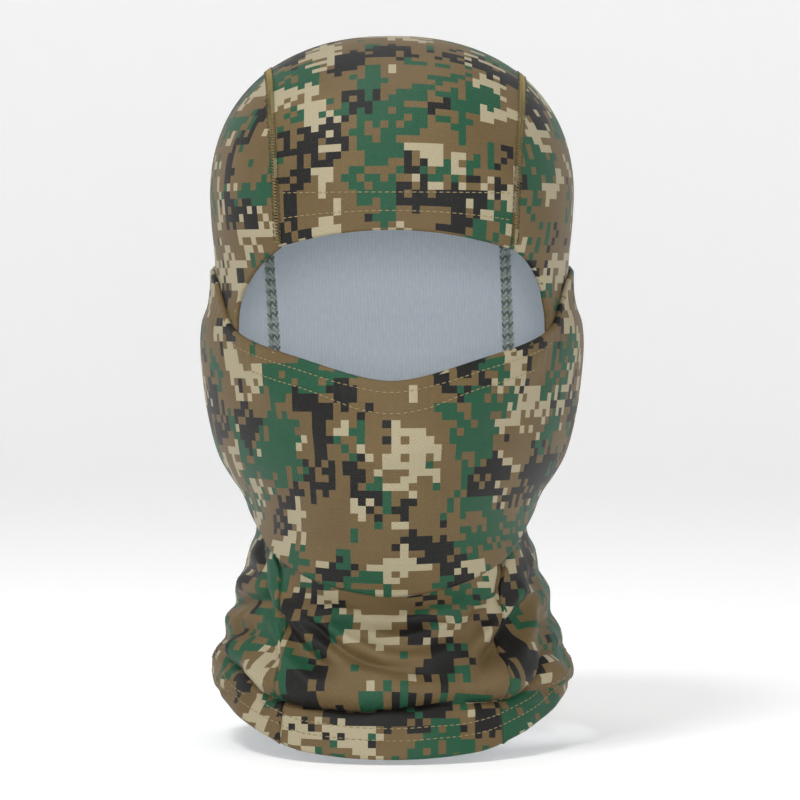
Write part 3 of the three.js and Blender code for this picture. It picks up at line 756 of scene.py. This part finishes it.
class Threads:
    """Gathers many short tubes of thread into one mesh."""

    def __init__(self):
        self.vertices, self.faces, self.kinds, self.count = [], [], [], 0

    def tube(self, path, radius, kind=0, sides=6):
        path = np.asarray(path, float)
        ahead = np.gradient(path, axis=0)
        ahead /= np.maximum(np.linalg.norm(ahead, axis=-1, keepdims=True), 1e-9)
        helper = np.where(abs(ahead[:, 2:3]) > 0.9, np.array([[1.0, 0, 0]]), np.array([[0, 0, 1.0]]))
        aside = np.cross(ahead, helper)
        aside /= np.linalg.norm(aside, axis=-1, keepdims=True)
        above = np.cross(aside, ahead)
        turn = np.linspace(0, 2 * np.pi, sides, endpoint=False)
        taper = np.ones(len(path))
        taper[[0, -1]] = 0.45
        ring = (aside[:, None] * np.cos(turn)[:, None] + above[:, None] * np.sin(turn)[:, None]) * radius
        points = path[:, None] + ring * taper[:, None, None]
        first = self.count
        self.vertices.append(points.reshape(-1, 3))
        for i in range(len(path) - 1):
            for j in range(sides):
                k = (j + 1) % sides
                a, b = first + i * sides, first + (i + 1) * sides
                self.faces.append((a + j, a + k, b + k, b + j))
                self.kinds.append(kind)
        last = first + (len(path) - 1) * sides
        for start, order in ((first, range(sides - 1, -1, -1)), (last, range(sides))):
            corner = [start + j for j in order]
            for j in range(1, sides - 2, 2):
                self.faces.append((corner[0], corner[j], corner[j + 1], corner[j + 2]))
                self.kinds.append(kind)
        self.count += len(path) * sides

    def piece(self, name, materials):
        return make_mesh(name, np.concatenate(self.vertices), self.faces, None, materials, self.kinds)


def dashes(name, line, normals, material, stitch=2.1, gap=0.9, radius=0.22):
    """A row of stitches that lie on the cloth and dip into it at both ends."""
    threads = Threads()
    line, normals, ahead, _ = even_steps(line, normals, stitch + gap)
    for point, normal, direction in zip(line, normals, ahead):
        path = [
            point + direction * stitch * along + normal * rise
            for along, rise in ((-0.5, -0.25), (-0.3, 0.05), (0, 0.12), (0.3, 0.05), (0.5, -0.25))
        ]
        threads.tube(path, radius)
    return threads.piece(name, [material])


def flat_seam(name, line, normals, materials):
    """A flatlock seam: two strands that cross from side to side, and a running row at each edge, coloured
    dark as painted shadow along the seam's edges.
    """
    threads = Threads()
    half, pitch = 2.0, 2.7
    line, normals, ahead, at = even_steps(line, normals, pitch / 4)
    across = np.cross(ahead, normals)
    for phase in (0.0, 0.5):
        swing = np.abs(((at / pitch + phase) % 1.0) * 2 - 1) * 2 - 1
        rise = 0.12 * (1 - swing**2) + 0.1 * phase
        path = line + across * (swing * half)[:, None] + normals * rise[:, None]
        threads.tube(path, 0.19, 0, 5)
    # the running rows at the edges take the second material, whose dark colour is painted shadow
    for side in (-1, 1):
        for i in range(2, len(line) - 4, 4):
            path = [
                line[i + k] + across[i + k] * side * half + normals[i + k] * rise
                for k, rise in enumerate((0, 0.2, 0.2, 0))
            ]
            threads.tube(path, 0.18, 1, 5)
    return threads.piece(name, materials)


def chain(name, line, normals, materials, half=1.75, pitch=2.7, radius=0.62):
    """A braid of two columns of Vs, pale and dark in turn. normals point to the side that shows."""
    threads = Threads()
    line, normals, ahead, _ = even_steps(line, normals, pitch)
    across = np.cross(ahead, normals)
    for i, (point, normal, direction, aside) in enumerate(zip(line, normals, ahead, across)):
        for side in (-1, 1):
            middle = point + aside * side * half
            path = [
                middle + aside * half * reach + direction * pitch * along + normal * rise
                for reach, along, rise in (
                    (-0.9, -0.35, 0.1),
                    (-0.45, 0.1, 0.5),
                    (0, 0.55, 0.6),
                    (0.45, 0.1, 0.5),
                    (0.9, -0.35, 0.1),
                )
            ]
            threads.tube(path, radius, 0 if i % 2 else 1, 5)
    return threads.piece(name, materials)


SEEDS = {"crown": 0.0, "left": 11.0, "right": 29.0, "neck": 47.0, "cover": 61.0}
camo = {name: camouflage(f"camo_{name}", seed) for name, seed in SEEDS.items()}
lining = lining_material()
seam_thread = plain_material("seam_thread", "#8f8054")
# thread of the seams' edge rows, darkened as painted shadow along the seams
seam_shadow = plain_material("seam_thread_painted_shadow", "#4c4630")
stitch_thread = plain_material("stitch_thread", "#8d7f5c")
chain_pale = plain_material("inner_thread_pale", "#c2cabb")
chain_dark = plain_material("inner_thread_dark", "#87978a")
elastic = plain_material("elastic", "#33312e", 0.6)


# ---- Make the panels ----

crown = turn_in(crown_sheet(), BROW_HEM)
crown = turn_in(crown.upside_down(), BOTTOM_HEM)
sides = {}
for name, side in (("left", -1), ("right", 1)):
    panel = turn_in(side_sheet(side), BOTTOM_HEM)
    sides[name] = turn_in(panel.turned(), OPENING_HEM)
neck = turn_in(neck_sheet(), BOTTOM_HEM)
# The elastic fills the hem in front, and there is no room for it over the side panels, so the space
# between the plies narrows from the one angle to the other.
WIDE_HEM, NARROW_HEM = 3.0, 1.4
WIDE_TO, NARROW_FROM = 56, 74
cover_angles = np.abs(np.linspace(-1, 1, COVER_COLUMNS)) * EAR_SEAM_ANGLE
hem_space = np.interp(cover_angles, [WIDE_TO, NARROW_FROM], [WIDE_HEM, NARROW_HEM])
cover = turn_in(cover_sheet(), COVER_HEM, hem_space)

crown_cloth = shell("crown_cloth", crown, camo["crown"], lining)
side_cloths = {name: shell(f"{name}_side_cloth", sides[name], camo[name], lining) for name in sides}
neck_cloth = shell("neck_cloth", neck, camo["neck"], lining)
cover_cloth = shell("face_cover_cloth", cover, camo["cover"], lining)


# ---- Sew them ----

ON_CLOTH = CLOTH / 2 + 0.05  # from the middle of the cloth to the thread lying on it
CHAIN_DEPTH = 0.35  # from the cloth's inner face to the line that a chain is laid along
NECK_CHAIN_DEPTH = 0.8  # the same for the two neck seams
SMALL_CHAIN = dict(half=0.9, pitch=2.4, radius=0.4)
NECK_CHAIN_TOP = -112
EAR_STITCH_FOOT, EAR_STITCH_TOP, EAR_STITCH_INSET = -80, 17, 2.0
ELASTIC_REACH = 37  # degrees to each side
ELASTIC_FOOT, ELASTIC_TOP = 11.2, 6.2  # below the cover's edge
ELASTIC_BEHIND = 1.5  # from the middle of the outer ply
ELASTIC_THICKNESS = 0.7


def row_round(angle, height, lift):
    """A row of stitches at these angles and heights, on cloth whose middle is at this lift."""
    base = round_head(angle, height)
    normals = normals_at(base)
    return base + normals * (lift + ON_CLOTH)[..., None], normals


def row_over(x, station, lift):
    base = over_crown(x, station)
    return dressed(base, lift + ON_CLOTH)


threads = {}
station = np.linspace(0.01, STATION["hem"] - 0.02, 900)
for name, side in (("left", -1), ("right", 1)):
    base = crown_seam_line(side, station)
    line, normals = dressed(base, CROWN_LIFT + SEAM_RIDGE + ON_CLOTH)
    threads[f"{name}_crown_seam"] = flat_seam(
        f"{name}_crown_seam_stitches", line, normals, [seam_thread, seam_shadow]
    )
    line, normals = dressed(base, CROWN_LIFT + SEAM_RIDGE - CLOTH / 2 - CHAIN_DEPTH)
    threads[f"{name}_crown_chain"] = chain(
        f"{name}_crown_chain_stitches", line, -normals, [chain_pale, chain_dark]
    )

    heights = np.linspace(HEM_FRONT_HEIGHT + BOTTOM_HEM + 4, NECK_CHAIN_TOP, 120)
    # the chain lies inside the neck panel's edge, which is sunk under the side panel's
    base = round_head(front_edge(side, heights), heights)
    line, normals = dressed(base, CROWN_LIFT - NECK_SINK - CLOTH / 2 - NECK_CHAIN_DEPTH)
    threads[f"{name}_neck_seam_thread"] = chain(
        f"{name}_neck_chain_stitches", line, -normals, [chain_pale, chain_dark], **SMALL_CHAIN
    )
    heights = np.linspace(EAR_STITCH_FOOT, EAR_STITCH_TOP, 60)
    angles = np.full_like(heights, side * (EAR_SEAM_ANGLE - EAR_STITCH_INSET))
    line, normals = row_round(angles, heights, cover_lift(angles, heights))
    threads[f"{name}_ear_seam_thread"] = dashes(f"{name}_ear_stitches", line, normals, stitch_thread)

for name, rise in (("lower", 8.0), ("upper", 15.6)):
    level = rise * STATION["forehead"] / (CROWN_BASE - BROW_MIDDLE)
    reach = float(strip_half(level)) - 3.5
    across = SEAM_SHIFT + np.linspace(-reach, reach, 200)
    line, normals = row_over(across, np.full(200, level), np.full(200, CROWN_LIFT))
    threads[f"brow_stitch_{name}"] = dashes(f"brow_stitches_{name}", line, normals, stitch_thread)

for name, inset, end in (("upper", 5.0, 53.5), ("lower", 12.5, 46.0)):
    angles = np.linspace(-end, end, 240)
    heights = cover_edge(angles) - inset
    line, normals = row_round(angles, heights, cover_lift(angles, heights))
    threads[f"cover_stitch_{name}"] = dashes(f"cover_stitches_{name}", line, normals, stitch_thread)

for name, rise in (("lower", 7.0), ("upper", 12.0)):
    angles = np.linspace(-180, 180, 720)
    base = round_head(angles, hem_edge(angles) + rise)
    line, normals = dressed(base, CROWN_LIFT + ON_CLOTH)
    threads[f"hem_stitch_{name}"] = dashes(f"hem_stitches_{name}", line, normals, stitch_thread)

angles = np.linspace(-52, 52, 160)
line, normals = dressed(round_head(angles, chin_seam(angles) + 1.5), CROWN_LIFT - CLOTH / 2 - CHAIN_DEPTH)
threads["chin_seam_thread"] = chain(
    "chin_chain_stitches", line, -normals, [chain_pale, chain_dark], **SMALL_CHAIN
)

# The elastic lies between the two plies of the face cover's hem.
across, up = np.meshgrid(
    np.linspace(-ELASTIC_REACH, ELASTIC_REACH, 91), np.linspace(0, 1, 5), indexing="ij"
)
heights = cover_edge(across) - mix(ELASTIC_FOOT, ELASTIC_TOP, up)
base = round_head(across, heights)
normals = normals_at(base)
points = base + normals * (cover_lift(across, heights) - ELASTIC_BEHIND)[..., None]
band = Sheet(points, normals, cloth_coordinates(across, heights, 0.0))
elastic_band = shell("face_cover_elastic_band", band, elastic, elastic, ELASTIC_THICKNESS)


# ---- Hide the CAD parts that the pieces stand for, and hang the fixed pieces on the hood's body ----

pieces = {
    crown_cloth: ("camo_knit", "crown_panel", "brow_hem", "bottom_hem"),
    side_cloths["left"]: ("camo_knit", "left_side_panel", "left_opening_hem", "bottom_hem"),
    side_cloths["right"]: ("camo_knit", "right_side_panel", "right_opening_hem", "bottom_hem"),
    neck_cloth: ("camo_knit", "neck_front_panel", "bottom_hem"),
    cover_cloth: ("camo_knit", "face_cover_upper", "face_cover_lower", "face_cover_hem"),
    elastic_band: ("elastic", "face_cover_elastic"),
}
THREAD_SLOTS = {
    "crown_seam": "seam_thread",
    "crown_chain": "inner_thread",
    "neck_seam_thread": "inner_thread",
    "chin_seam_thread": "inner_thread",
}
for node, piece in threads.items():
    found = [slot for ending, slot in THREAD_SLOTS.items() if node.endswith(ending)]
    pieces[piece] = (found[0] if found else "stitch_thread", node)

MOVING = (cover_cloth, elastic_band, threads["cover_stitch_upper"], threads["cover_stitch_lower"])
for piece, (slot, *nodes) in pieces.items():
    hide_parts(*nodes)
    if piece in MOVING:
        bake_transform(piece)
    else:
        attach(piece, "hood")


# ---- The studio ----

# A round pale floor that curves up into a wall all round, so that it is behind the hood from every side.
FLOOR = -0.1965
FLOOR_RADIUS = 2.6
CURVE_RADIUS = 0.8
WALL_TOP = 2.4
CORNERS = 72
pale = plain_material("studio_pale", "#f4f4f4", 0.9)
pale.node_tree.nodes["Principled BSDF"].inputs["Emission Color"].default_value = (1, 1, 1, 1)
pale.node_tree.nodes["Principled BSDF"].inputs["Emission Strength"].default_value = 0.2
curve = [
    (FLOOR_RADIUS + CURVE_RADIUS * math.sin(t), CURVE_RADIUS * (1 - math.cos(t)))
    for t in np.linspace(0, math.pi / 2, 14)
]
profile = [*curve, (FLOOR_RADIUS + CURVE_RADIUS, WALL_TOP)]
turns = [2 * math.pi * i / CORNERS for i in range(CORNERS)]
vertices = [(r * math.cos(a), r * math.sin(a), z + FLOOR) for r, z in profile for a in turns]
faces = [tuple(range(CORNERS))]
for ring in range(len(profile) - 1):
    first = ring * CORNERS
    for i in range(CORNERS):
        j = (i + 1) % CORNERS
        faces.append((first + i, first + CORNERS + i, first + CORNERS + j, first + j))
mesh = bpy.data.meshes.new("studio_floor")
mesh.from_pydata(vertices, [], faces)
mesh.materials.append(pale)
mesh.polygons.foreach_set("use_smooth", np.ones(len(faces), bool))
floor = bpy.data.objects.new("studio_floor", mesh)
bpy.context.scene.collection.objects.link(floor)


def area_light(name, place, aim, size, watts):
    light = bpy.data.lights.new(name, "AREA")
    light.shape, light.size, light.energy = "DISK", size, watts
    lamp = bpy.data.objects.new(name, light)
    lamp.location = place
    lamp.rotation_euler = (Vector(aim) - Vector(place)).to_track_quat("-Z", "Y").to_euler()
    bpy.context.scene.collection.objects.link(lamp)


area_light("key", (-0.55, -0.8, 1.4), (0, 0, 0), 0.5, 14)
area_light("fill", (1.2, -1.2, 0.4), (0, 0, 0), 0.8, 2)
area_light("front", (0, -2.0, 0.1), (0, 0, 0), 0.4, 9.5)
area_light("top", (0, 0.2, 1.5), (0, 0, 0), 0.7, 4.5)

world = bpy.data.worlds.new("studio")
world.use_nodes = True
world.node_tree.nodes["Background"].inputs[0].default_value = (1, 1, 1, 1)
world.node_tree.nodes["Background"].inputs[1].default_value = 0.4
bpy.context.scene.world = world
bpy.context.scene.view_settings.view_transform = "Standard"

CAMERA_TARGET = Vector((0.00368, 0, -0.0405))
CAMERA_DISTANCE = 1.6
CAMERA_ELEVATION = math.radians(2)
SENSOR_WIDTH = 36
VIEW_WIDTH = 0.368  # metres across the picture at the target
camera_data = bpy.data.cameras.new("camera")
camera_data.sensor_width = SENSOR_WIDTH
camera_data.lens = SENSOR_WIDTH * CAMERA_DISTANCE / VIEW_WIDTH
camera = bpy.data.objects.new("camera", camera_data)
back = Vector((0, -math.cos(CAMERA_ELEVATION), math.sin(CAMERA_ELEVATION)))
camera.location = CAMERA_TARGET + back * CAMERA_DISTANCE
camera.rotation_euler = (-back).to_track_quat("-Z", "Y").to_euler()
bpy.context.scene.collection.objects.link(camera)
bpy.context.scene.camera = camera
